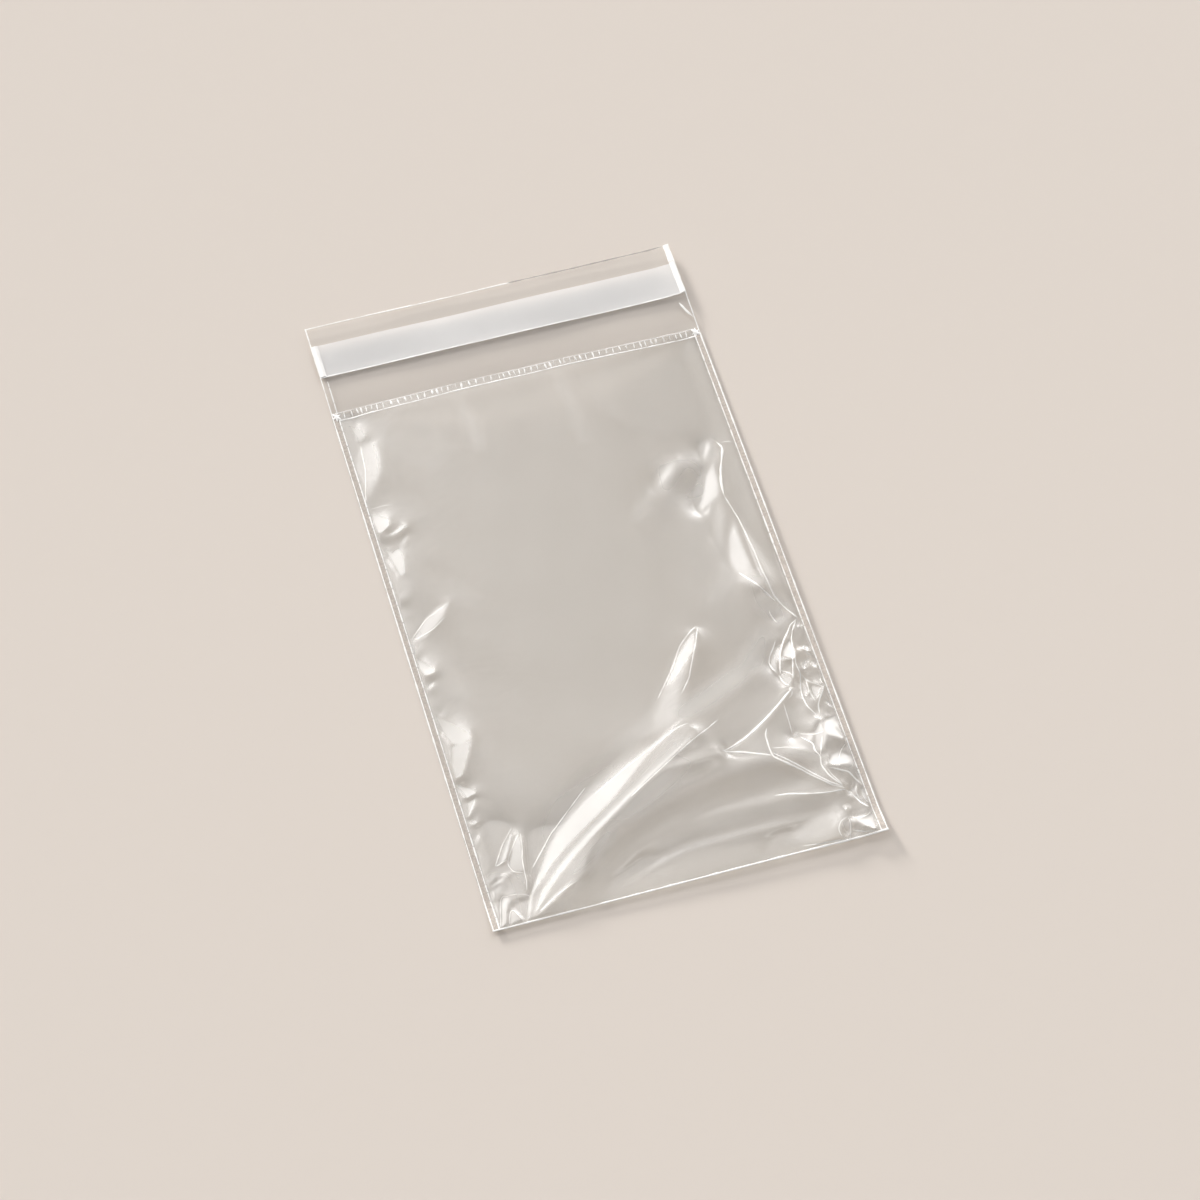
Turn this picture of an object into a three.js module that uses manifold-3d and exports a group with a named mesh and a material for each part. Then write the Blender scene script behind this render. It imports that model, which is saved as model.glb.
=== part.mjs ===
// A clear self-seal bag, lying on its back with its mouth towards +Y. Millimetres, +Z up.
// One film is folded across the bottom and welded up both sides. The front ends at the mouth in a
// turned hem, and the back runs on as a lip that carries an adhesive strip under a peel-off liner.
// The origin is under the middle of the bag, on the surface that it lies on.

import * as THREE from 'three';
import Module from 'manifold-3d';

// Film and outline
const FILM = 0.05;
const BAG_WIDTH = 160;
const POCKET_DEPTH = 255; // bottom fold to mouth
const LIP_LENGTH = 45; // mouth to the free edge of the lip
const SEAL_WIDTH = 3; // weld along each side
const FOLD_WIDTH = 0.6; // pressed flat along the bottom fold
const HEM_WIDTH = 4.2; // film turned double at the mouth
const HEM_STEP = 0.4;

// How far the slack front stands off the back
const POCKET_RISE = 5.4;
const MOUTH_RISE = 5;
const SIDE_RAMP = 66; // from a weld to the full rise
const END_RAMP = 70; // from the bottom fold to the full rise
const MOUTH_RAMP = 90; // from the full rise to the rise at the mouth
const MOUTH_DIP = 2.6; // the bulging mouth edge draws back this far
const DIP_RAMP = 40;
const FOLD_FADE = 1.2; // folds die out this close to a weld

// Adhesive strip and its liner, measured down from the free edge of the lip
const LINER = 0.06;
const LINER_WIDTH = 16.8;
const LINER_INSET = 10; // free edge of the lip to the liner
const LINER_END = 0.5; // liner stops this short of each side of the bag
const ADHESIVE = 0.03;
const ADHESIVE_WIDTH = 12;
const ADHESIVE_END = 1; // adhesive stops this short of each weld

// Mesh steps of the front panel
const SEAM_ZONE = 21; // finer columns this close to each weld
const SEAM_STEPS = 10;
const MIDDLE_STEPS = 21;
const CRUMPLE_ZONE = 104; // finer rows this close to the bottom fold
const CRUMPLE_STEPS = 33;
const UPPER_STEPS = 30;

// Folds are roofs. Each crest runs from point to point, [inset from the side, height above the
// bottom fold, rise]. On the left hand of its run it falls by `broad`, on the right hand by `steep`.
const LEFT_FOLDS = [
  // the long fold that sweeps up from the bottom corner
  {
    broad: 0.31,
    steep: 0.5,
    crest: [
      [14.5, 1.8, 0.2], [20, 8.5, 1.1], [27, 14.5, 1.8], [35.5, 23, 2.5], [49, 32.5, 3],
      [59, 38, 3.2], [79, 47, 2.9], [99, 58, 2], [110.5, 64, 0.4],
    ],
  },
  { broad: 0.28, steep: 0.3, crest: [[18, 2.3, 0.2], [28, 8, 0.7], [38.5, 13, 0.1]] },
  // the soft dome below the mouth
  {
    broad: 0.16,
    steep: 0.25,
    crest: [[3, 208, 0], [10, 217, 0.8], [13.5, 228.5, 1.2], [10.5, 241, 0.8], [3, 251, 0]],
  },
];

const RIGHT_FOLDS = [
  // the ridge beside the weld
  {
    broad: 0.14,
    steep: 0.2,
    crest: [
      [4.5, 105, 0], [10, 116, 0.9], [12, 128.5, 1.4], [12.5, 143.5, 1.5], [13.5, 158.5, 1.2],
      [15, 169, 1.4], [13.5, 178, 1.5], [10, 189, 0.9], [8, 196.5, 0.2],
    ],
  },
  // two creases that meet in a point
  { broad: 0.25, steep: 0.25, crest: [[51.5, 51, 0.1], [36, 57, 0.5], [26.5, 64, 0.6], [17.5, 72, 0.4]] },
  {
    broad: 0.25,
    steep: 0.25,
    crest: [
      [10.5, 23, 0.4], [22.5, 32, 0.5], [28.5, 38.5, 0.5],
      [33, 43.5, 0.4], [34, 48, 0.4], [32, 59.5, 0.2],
    ],
  },
];

// Facets are flat pieces of crumpled film, given by their outlines. The film there rises by a share
// of the lean towards +X and +Y, and falls off steeply along the outline.
const LEAN_X = 0.28;
const LEAN_Y = -0.14;
const FACET_EDGE = 0.8;

const LEFT_FACETS = [
  { share: 1, outline: [[3.5, 204], [10, 197.5], [10, 194.5], [3.5, 190]] },
  { share: 1, outline: [[4, 185], [9.5, 182], [10.5, 175], [8.5, 167], [7.5, 168], [6, 177.5]] },
  { share: 0.8, outline: [[4, 136.5], [11.5, 144], [22.5, 150], [18.5, 143.5], [9.5, 138]] },
  { share: 1, outline: [[4, 103], [10, 93.5], [14.5, 86], [14.5, 84], [6.5, 84]] },
  { share: 0.9, outline: [[6.5, 83.5], [14.5, 83], [11.5, 78], [3.5, 69.5]] },
  { share: 0.9, outline: [[4, 68], [9.5, 62.5], [10, 60], [7, 54.5], [3.5, 51]] },
  { share: 1, outline: [[19.5, 41.5], [13.5, 37], [8, 27], [14, 28.5], [16.5, 35]] },
  { share: 0.9, outline: [[21.5, 38.5], [17, 32], [13.5, 25.5], [19, 22], [21, 32]] },
  { share: 1, outline: [[3, 0.7], [6, 11.5], [8, 14.5], [10.5, 12.5], [8, 6.5]] },
  // the lens above the long fold
  {
    share: 1,
    outline: [[115, 110], [102, 95], [89.5, 81], [87, 76.5], [99.5, 79.5], [105.5, 89.5], [111, 99.5]],
  },
];

const RIGHT_FACETS = [
  { share: 1, outline: [[13.5, 185], [18.5, 182], [23.5, 173], [28.5, 160.5], [21.5, 165], [15.5, 173.5]] },
  { share: 1, outline: [[15, 156.5], [19.5, 148.5], [22.5, 138], [20, 130.5], [12.5, 117], [14.5, 137]] },
  { share: 1, outline: [[10.5, 95.5], [16.5, 88], [14, 86], [11, 88]] },
  { share: 0.85, outline: [[10.5, 77.5], [4, 70.5], [9, 64], [10.5, 69]] },
  { share: 1, outline: [[5, 58], [3.7, 54], [4, 45], [7.5, 48], [11.5, 49.5], [10, 53]] },
  { share: 1, outline: [[5.5, 43], [3.5, 40], [3.7, 34.5], [9, 34.5], [13, 32.5], [12, 37.5]] },
  { share: 1, outline: [[11.5, 8], [4, 11.5], [3.5, 1.2], [7.5, 3.7]] },
  { share: 0.55, outline: [[33, 11.5], [20, 15], [17, 10.5], [18.5, 2.5], [34, 5.5]] },
];

const HALF_WIDTH = BAG_WIDTH / 2;
const HALF_POCKET = HALF_WIDTH - SEAL_WIDTH;
const LENGTH = POCKET_DEPTH + LIP_LENGTH;
const BOTTOM_Y = -LENGTH / 2;
const LIP_Y = LENGTH / 2;
const MOUTH_Y = BOTTOM_Y + POCKET_DEPTH;
const POCKET_Y = BOTTOM_Y + FOLD_WIDTH;
const HEM_Y = MOUTH_Y - HEM_WIDTH;

const ease = (distance, ramp) => Math.sin(0.5 * Math.PI * THREE.MathUtils.clamp(distance / ramp, 0, 1));

// Smooth height of the slack front film.
function slack(x, y) {
  const toMouth = 0.5 - 0.5 * Math.cos(
    Math.PI * THREE.MathUtils.clamp((y - MOUTH_Y + MOUTH_RAMP) / MOUTH_RAMP, 0, 1));
  const crown = THREE.MathUtils.lerp(POCKET_RISE, MOUTH_RISE, toMouth);
  return crown * ease(HALF_POCKET - Math.abs(x), SIDE_RAMP) * ease(y - POCKET_Y, END_RAMP);
}

const fromLeft = ([inset, up, rise = 0]) => new THREE.Vector3(inset - HALF_WIDTH, BOTTOM_Y + up, rise);
const fromRight = ([inset, up, rise = 0]) => new THREE.Vector3(HALF_WIDTH - inset, BOTTOM_Y + up, rise);

const FOLDS = [
  ...LEFT_FOLDS.map((fold) => ({ ...fold, crest: fold.crest.map(fromLeft) })),
  ...RIGHT_FOLDS.map((fold) => ({ ...fold, crest: fold.crest.map(fromRight) })),
];

// A facet's slope over the slack film, its lowest corner, and its outline run counter-clockwise.
function leaning({ share, outline }, place) {
  const corners = outline.map(place);
  const middle = new THREE.Vector3();
  for (const corner of corners) middle.addScaledVector(corner, 1 / corners.length);
  const { x, y } = middle;
  const slopeX = share * (LEAN_X - slack(x + 0.5, y) + slack(x - 0.5, y));
  const slopeY = share * (LEAN_Y - slack(x, y + 0.5) + slack(x, y - 0.5));
  const start = Math.min(...corners.map((corner) => slopeX * corner.x + slopeY * corner.y));
  if (THREE.ShapeUtils.isClockWise(corners)) corners.reverse();
  return { slopeX, slopeY, start, corners };
}

const FACETS = [
  ...LEFT_FACETS.map((facet) => leaning(facet, fromLeft)),
  ...RIGHT_FACETS.map((facet) => leaning(facet, fromRight)),
];

// Height of one roof over the stretch of crest from a to b.
function roof(x, y, a, b, broad, steep) {
  const dx = b.x - a.x;
  const dy = b.y - a.y;
  const along = THREE.MathUtils.clamp(
    ((x - a.x) * dx + (y - a.y) * dy) / (dx * dx + dy * dy), 0, 1);
  const offX = x - a.x - along * dx;
  const offY = y - a.y - along * dy;
  const leftHand = dx * offY - dy * offX > 0;
  const fall = (leftHand ? broad : steep) * Math.hypot(offX, offY);
  return THREE.MathUtils.lerp(a.z, b.z, along) - fall;
}

function facetHeight(x, y, { slopeX, slopeY, start, corners }) {
  let height = slopeX * x + slopeY * y - start;
  corners.forEach((a, i) => {
    const b = corners[(i + 1) % corners.length];
    const inside = (b.x - a.x) * (y - a.y) - (b.y - a.y) * (x - a.x);
    height = Math.min(height, FACET_EDGE * inside / Math.hypot(b.x - a.x, b.y - a.y));
  });
  return height;
}

// Height of the highest fold or facet.
function foldRise(x, y) {
  let rise = 0;
  for (const { broad, steep, crest } of FOLDS) {
    for (let i = 1; i < crest.length; i += 1) {
      rise = Math.max(rise, roof(x, y, crest[i - 1], crest[i], broad, steep));
    }
  }
  for (const facet of FACETS) rise = Math.max(rise, facetHeight(x, y, facet));
  return rise;
}

// Clear height of the pocket under the front film.
function pocketHeight(x, y) {
  const near = Math.min(HALF_POCKET - Math.abs(x), y - POCKET_Y);
  return slack(x, y) + THREE.MathUtils.clamp(near / FOLD_FADE, 0, 1) * foldRise(x, y);
}

// The mouth edge draws back where the front bulges.
function mouthDip(x, y) {
  const nearMouth = THREE.MathUtils.clamp((y - MOUTH_Y + DIP_RAMP) / DIP_RAMP, 0, 1);
  return MOUTH_DIP * ease(HALF_POCKET - Math.abs(x), SIDE_RAMP) * nearMouth ** 2;
}

// Underside and top of the front film. Where it is welded or folded it is one with the back.
const isJoined = (x, y) => Math.abs(x) >= HALF_POCKET || y <= POCKET_Y;
const underside = (x, y) => (isJoined(x, y) ? FILM / 2 : FILM + pocketHeight(x, y));
const topside = (x, y) => {
  const layers = y >= HEM_Y ? 2 : 1;
  return (isJoined(x, y) ? FILM : FILM + pocketHeight(x, y)) + layers * FILM;
};

const stations = (from, to, steps) => Array.from(
  { length: steps }, (_, i) => THREE.MathUtils.lerp(from, to, i / steps));

// A closed slab between two height functions over a grid of columns and rows.
function slab(columns, rows, top, bottom, dip) {
  const vertices = [];
  for (const level of [top, bottom]) {
    for (const y of rows) {
      for (const x of columns) vertices.push(x, y - dip(x, y), level(x, y));
    }
  }
  const wide = columns.length;
  const layer = wide * rows.length;
  const triangles = [];
  for (let j = 0; j + 1 < rows.length; j += 1) {
    for (let i = 0; i + 1 < wide; i += 1) {
      const a = j * wide + i;
      const b = a + 1;
      const c = b + wide;
      const d = a + wide;
      triangles.push(a, b, c, a, c, d);
      triangles.push(layer + a, layer + c, layer + b, layer + a, layer + d, layer + c);
    }
  }
  const rim = [];
  for (let i = 0; i + 1 < wide; i += 1) rim.push(i);
  for (let j = 0; j + 1 < rows.length; j += 1) rim.push(j * wide + wide - 1);
  for (let i = wide - 1; i > 0; i -= 1) rim.push((rows.length - 1) * wide + i);
  for (let j = rows.length - 1; j > 0; j -= 1) rim.push(j * wide);
  rim.forEach((a, k) => {
    const b = rim[(k + 1) % rim.length];
    triangles.push(a, layer + b, b, a, layer + a, layer + b);
  });
  return { vertices, triangles };
}

const wasm = await Module();
wasm.setup();

const solid = ({ vertices, triangles }) => new wasm.Manifold(new wasm.Mesh({
  numProp: 3,
  vertProperties: Float32Array.from(vertices),
  triVerts: Uint32Array.from(triangles),
}));

function geometryOf(manifold) {
  const { vertProperties, triVerts } = manifold.getMesh();
  const geometry = new THREE.BufferGeometry();
  geometry.setAttribute('position', new THREE.BufferAttribute(vertProperties, 3));
  geometry.setIndex(new THREE.BufferAttribute(triVerts, 1));
  geometry.computeVertexNormals();
  return geometry;
}

const columns = [
  -HALF_WIDTH,
  ...stations(-HALF_POCKET, -HALF_POCKET + SEAM_ZONE, SEAM_STEPS),
  ...stations(-HALF_POCKET + SEAM_ZONE, HALF_POCKET - SEAM_ZONE, MIDDLE_STEPS),
  ...stations(HALF_POCKET - SEAM_ZONE, HALF_POCKET, SEAM_STEPS),
  HALF_POCKET,
  HALF_WIDTH,
];
const rows = [
  BOTTOM_Y,
  ...stations(POCKET_Y, POCKET_Y + CRUMPLE_ZONE, CRUMPLE_STEPS),
  ...stations(POCKET_Y + CRUMPLE_ZONE, HEM_Y - HEM_STEP, UPPER_STEPS),
  HEM_Y - HEM_STEP,
  HEM_Y,
  MOUTH_Y,
];

const back = solid(slab([-HALF_WIDTH, HALF_WIDTH], [BOTTOM_Y, LIP_Y], () => FILM, () => 0, () => 0));
const front = solid(slab(columns, rows, topside, underside, mouthDip));

const clearFilm = new THREE.MeshStandardMaterial({
  color: 0xe6eaec,
  roughness: 0.08,
  metalness: 0,
  transparent: true,
  opacity: 0.3,
});
const clearAdhesive = new THREE.MeshStandardMaterial({
  color: 0xe9e6df,
  roughness: 0.45,
  metalness: 0,
  transparent: true,
  opacity: 0.5,
});
const milkyLiner = new THREE.MeshStandardMaterial({
  color: 0xe4e2e0,
  roughness: 0.35,
  metalness: 0,
  transparent: true,
  opacity: 0.75,
});

const bagFilm = new THREE.Mesh(geometryOf(back.add(front)), clearFilm);
bagFilm.name = 'bag_film';

const linerMiddleY = LIP_Y - LINER_INSET - LINER_WIDTH / 2;

const adhesiveStrip = new THREE.Mesh(
  new THREE.BoxGeometry(2 * (HALF_POCKET - ADHESIVE_END), ADHESIVE_WIDTH, ADHESIVE), clearAdhesive);
adhesiveStrip.name = 'adhesive_strip';
adhesiveStrip.position.set(0, linerMiddleY, FILM + ADHESIVE / 2);

const releaseLiner = new THREE.Mesh(
  new THREE.BoxGeometry(BAG_WIDTH - 2 * LINER_END, LINER_WIDTH, LINER), milkyLiner);
releaseLiner.name = 'release_liner';
releaseLiner.position.set(0, linerMiddleY, FILM + ADHESIVE + LINER / 2);

const bag = new THREE.Group();
bag.name = 'self_seal_bag';
bag.add(bagFilm, adhesiveStrip, releaseLiner);

export default bag;
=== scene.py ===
"""Clear self-seal bag lying on a pale floor: creased film, side welds, mouth hem and peel-off liner."""
import math

import bpy
import numpy as np
from mathutils import Matrix, Vector


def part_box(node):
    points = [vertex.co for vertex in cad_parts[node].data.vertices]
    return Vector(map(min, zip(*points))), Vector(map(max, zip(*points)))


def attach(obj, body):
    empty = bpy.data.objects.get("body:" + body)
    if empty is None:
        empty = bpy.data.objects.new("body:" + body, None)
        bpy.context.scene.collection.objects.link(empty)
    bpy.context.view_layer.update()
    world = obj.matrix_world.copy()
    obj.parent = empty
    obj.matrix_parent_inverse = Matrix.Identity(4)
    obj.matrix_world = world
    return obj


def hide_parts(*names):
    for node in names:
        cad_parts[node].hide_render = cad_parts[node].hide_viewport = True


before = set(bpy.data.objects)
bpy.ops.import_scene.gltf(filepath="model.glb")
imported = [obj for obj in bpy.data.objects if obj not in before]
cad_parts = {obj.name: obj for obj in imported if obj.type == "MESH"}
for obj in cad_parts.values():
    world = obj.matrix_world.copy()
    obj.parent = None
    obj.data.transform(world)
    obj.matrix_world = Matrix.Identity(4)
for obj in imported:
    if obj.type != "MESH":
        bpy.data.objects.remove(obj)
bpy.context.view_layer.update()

MM = 0.001

# Sizes in millimetres, as the solids have them
FILM = 0.05
HALF_WIDTH = 80.0
BOTTOM_Y = -150.0
LIP_Y = 150.0
MOUTH_Y = 105.0
SEAL = 3.0
FOLD_WIDTH = 0.6
HEM_WIDTH = 4.2
HALF_POCKET = HALF_WIDTH - SEAL
POCKET_Y = BOTTOM_Y + FOLD_WIDTH
LINER_LOW, LINER_HIGH = 123.2, 140.0
LINER_Z, LINER = 0.08, 0.06

# Slack front film: how high it stands, the reach of its slopes, and the slow swells in it
POCKET_RISE = 5.4
MOUTH_RISE = 5.0
SIDE_RAMP = 66.0
END_RAMP = 70.0
MOUTH_RAMP = 90.0
SWELL, SWELL_LENGTH, SWELL_FADE = 0.1, 34.0, 12.0

# How far the mouth's edge draws back where the film bulges
MOUTH_DIP, MOUTH_DIP_REACH = 2.6, 40.0

# Right edge off the floor: everywhere, and more around one place
RIGHT_LIFT, RIGHT_LIFT_WIDTH = 0.8, 12.0
RIGHT_LIFT_MORE, RIGHT_LIFT_Y, RIGHT_LIFT_REACH = 0.5, -30.0, 125.0

# Bottom edge off the floor: most at one place, and this share of it far from there
BOTTOM_LIFT, BOTTOM_LIFT_WIDTH = 1.7, 14.0
BOTTOM_LIFT_SHARE, BOTTOM_LIFT_X, BOTTOM_LIFT_REACH = 0.6, 50.0, 110.0

# Lip off the floor, with a lazy wave in it and its right edge curled up
LIP_LIFT, LIP_RAMP = 0.9, 16.0
LIP_WAVE, LIP_WAVE_LENGTH = 0.15, 60.0
CURL_RISE, CURL_X, CURL_POWER = 0.6, 77.2, 1.3
CURL_LOW, CURL_FADE = 119.0, 4.0

# Slopes of film that show the camera the key light, the side light and the dark between them
LEAN = (0.28, -0.14)
SIDE_LEAN = (-0.30, -0.28)
HOLLOW_LEAN = (0.0, 0.2)

# Towards the camera, the shift of its picture on the floor for each millimetre of height, and the
# rounds in which a place on the film is found from its picture
VIEW = np.array([-0.1505, -0.5239, 0.8384])
SIGHT = -VIEW[:2] / VIEW[2]
SIGHT_ROUNDS = 14

# What follows is placed in millimetres as the camera sees it against the floor
# Patches of film that lean to a light: share of the lean, outline
FACETS = [
    (0.94, [(-66, -148.3), (-65, -143.5), (-61, -136), (-56, -128.5), (-50, -119), (-45, -113.4),
            (-40, -109.2), (-30, -101.8), (-20, -96.2), (-12, -92), (0, -86.4), (10, -82), (18, -79.4),
            (12, -83.2), (5, -86.8), (0, -90), (-10, -98.2), (-20, -105.8), (-30, -112.4),
            (-40, -118.9), (-50, -126.8), (-60, -137.2), (-64.5, -147.5)]),
    (1, [(-63.5, -147), (-57, -137.2), (-50, -130.6), (-40, -122.3), (-30, -115.4), (-20, -109.5),
         (-10, -103.2), (8, -92.6), (20, -86.6), (17, -89.4), (0, -99.3), (-20, -112.2), (-30, -118.7),
         (-40, -125.9), (-50, -134.6), (-60, -144.4)]),
    (1, [(-64, -148.2), (-55, -141.7), (-48, -138), (-41.5, -135.8), (-48, -140.2), (-55, -144)]),
    (0.8, [(-59.5, -128.5), (-50, -117.2), (-40, -107.3), (-27, -96.2), (-35, -104.2), (-45, -113.2),
           (-55, -124.3)]),
    (0.85, [(-67.5, 89.5), (-65.5, 84), (-66.2, 77), (-68.5, 69.5), (-71.5, 64.5), (-69.5, 69.5),
            (-67.8, 76.5), (-67.3, 83.5)]),
    (0.95, [(-74.5, 98.5), (-70.5, 95), (-67.8, 90), (-71.7, 88.4), (-72.6, 92)]),
    (1, [(-76.4, 52.5), (-72.5, 49.5), (-70, 47), (-70, 44), (-72.5, 42.5), (-75, 41), (-76.5, 43)]),
    (0.95, [(-75, 40.3), (-69, 38.8), (-63.3, 41.2), (-66, 42.8), (-68.5, 41), (-71, 40.3)]),
    (1, [(-75.5, 34.5), (-72.5, 31.5), (-69.3, 32.3), (-68.8, 28), (-70.2, 18.8), (-72.5, 18.5),
         (-74.2, 28.5)]),
    (0.7, [(-69.5, 32.5), (-66.5, 36.5), (-63.8, 38), (-67.5, 33)]),
    (0.66, [(-76.3, -12.2), (-71, -12.6), (-66, -9.2), (-61, -5.2), (-56.3, 1.8), (-62, 0.2),
            (-68, -3.5), (-73, -8.8)]),
    (0.8, [(-77, -12), (-75.2, -14.5), (-76, -19.5), (-77, -20)]),
    (1, [(-76.3, -20.5), (-74, -24), (-70.3, -28), (-71, -30.3), (-75, -30), (-76.3, -26.5)]),
    (0.9, [(-76, -37), (-75, -34), (-72, -33.3), (-73, -35.5)]),
    (0.9, [(-76.3, -48.5), (-72, -52.2), (-69.8, -55), (-65, -60.5), (-64.8, -64.5), (-70, -64.8),
           (-73, -63.8), (-75, -56.5)]),
    (0.78, [(-73.5, -64.6), (-65, -64.8), (-68, -71), (-73, -79), (-76.2, -80), (-75.5, -73)]),
    (0.95, [(-76.2, -81.5), (-73.5, -83.6), (-69.8, -86.4), (-70, -88.5), (-74, -89)]),
    (0.85, [(-75.9, -97.8), (-74.4, -91), (-70.6, -90), (-72, -93.6)]),
    (0.95, [(-76.2, -98.3), (-75, -98.8), (-72.6, -100.2), (-73.8, -101.3)]),
    (0.95, [(-66, -113), (-60.3, -106.5), (-61.5, -110), (-64, -115.5), (-66.5, -120), (-71.5, -122),
            (-69, -118)]),
    (0.92, [(-60.8, -110.3), (-58.3, -109.8), (-58.5, -114), (-61, -127.2), (-65, -125.8),
            (-66.5, -122.8), (-64, -118)]),
    (0.8, [(-65.3, -126.3), (-61.2, -127.3), (-61, -131), (-62, -136.5), (-63.8, -133.5)]),
    (0.75, [(-75.5, -129.3), (-72, -127), (-67, -126), (-70, -128.6)]),
    (0.95, [(-76.5, -149.3), (-73.6, -137), (-72, -134.9), (-70, -136.2), (-69.8, -138.2),
            (-71.5, -138.7), (-74.5, -147.5)]),
    (0.8, [(-73.5, -148.5), (-71.3, -142.5), (-69.7, -142), (-67, -148.8), (-70, -147.2)]),
    (0.6, [(-70, -136), (-66, -136.3), (-62, -138), (-65.5, -137.3), (-69.5, -137)]),
    (0.85, [(-77, -131.5), (-75.3, -133), (-75.8, -135.8), (-77, -135)]),
    (0.92, [(34.2, -40), (29, -43.4), (24, -48.5), (19, -55.6), (15, -62), (21, -59), (27.5, -52.5),
            (31.5, -49.5), (34, -42)]),
    (0.9, [(67.4, -42.6), (70.5, -43.3), (73.5, -43.3), (70, -44.1), (68, -43.6), (67.5, -45.2)]),
    (1, [(66, -57.2), (69.8, -54), (70, -60), (69, -63.5), (67, -63), (64.5, -60.5)]),
    (0.85, [(62.5, -56), (65.5, -54), (65, -57.5), (62.2, -63.5), (61.8, -59)]),
    (0.8, [(62, -56.8), (58.7, -62.5), (59.2, -65.5), (60.8, -66.5), (62, -61)]),
    (0.85, [(60.8, -69), (62, -67.6), (65.5, -71.5), (63.9, -74.5), (62.2, -74)]),
    (0.8, [(71.2, -76), (75.8, -79.2), (71.3, -84.5), (70.5, -80)]),
    (0.8, [(67.5, -74), (69.5, -73), (70, -79), (67, -82)]),
    (0.85, [(28.8, -96), (39, -92.3), (50, -85.3), (63.5, -76.2), (56, -83), (45, -90.8), (34, -95.8)]),
    (0.7, [(28.5, -95.7), (41, -100), (46.3, -102.5), (46.5, -104), (35, -99.5)]),
    (0.8, [(47, -101.5), (52, -107), (60, -116), (64, -121), (70.3, -126.3), (62, -120.3),
           (54, -111.8), (47.3, -104.5)]),
    (0.75, [(42, -121), (49, -121.7), (61, -125), (70.5, -126.6), (60, -126), (48, -123.3)]),
    (0.8, [(57, -97.5), (58.5, -95.3), (60.5, -97), (59, -97.8)]),
    (0.85, [(60.5, -96.5), (66, -98.5), (66, -100), (61, -98.5)]),
    (0.85, [(66, -98), (69.5, -94), (70, -99), (68, -104), (65.8, -108), (64.3, -104)]),
    (0.85, [(71, -127.3), (74.3, -125.8), (73.2, -129.5), (76.3, -137), (73.5, -134)]),
    (0.9, [(67.3, -138.1), (70, -139.2), (76, -139), (73, -140.6), (69.5, -140)]),
    (0.85, [(66.8, -144.9), (70, -146.7), (74, -148.8), (66, -148.5)]),
    (0.95, [(63.8, -145), (65.5, -145), (64.5, -147.8), (63.5, -147)]),
]

# Facets beside the right weld, which fall towards it
SIDE_FACETS = [
    (1, [(74, -49.3), (76.2, -46), (75.6, -49.6)]),
    (1, [(73.8, -58), (75.6, -58.6), (76, -61), (74.3, -61)]),
    (0.9, [(75, -63.8), (72.5, -65.5), (70.5, -68.5), (71.2, -70), (73, -67)]),
    (0.95, [(75, -67), (76.4, -66), (76.3, -70), (75, -69.3)]),
    (0.95, [(75, -85.5), (76, -86), (76.8, -90), (75.6, -88.3)]),
    (1, [(70.3, -95.5), (72, -93.8), (76.5, -92.5), (76.3, -97), (75, -99), (76.5, -105.5),
         (73.5, -103.8), (70.5, -101.8), (69.6, -98.5)]),
    (1, [(67.5, -112.5), (68.5, -110.5), (73.5, -108.5), (71, -114), (70.3, -116.5), (66.8, -115)]),
    (1, [(73.8, -109.5), (76.9, -112), (76.9, -117.5), (74.8, -115.8), (70.8, -115.3), (71.5, -112.5)]),
    (0.9, [(76.5, -126.5), (75.2, -131), (76.2, -136), (76.9, -134), (76.9, -128)]),
    (1, [(69.8, -141.8), (75.6, -139.8), (76.8, -138.5), (76.5, -143.5), (75.8, -148), (71.5, -144.3)]),
]

# Loose film near the bottom right corner: a soft facet, with painted sheen over it
CORNER_PATCH = [(42, -140), (50, -136.5), (59, -134.2), (65.5, -137.5), (61, -143), (61.5, -147.3),
                (50, -145), (43, -144)]

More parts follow.
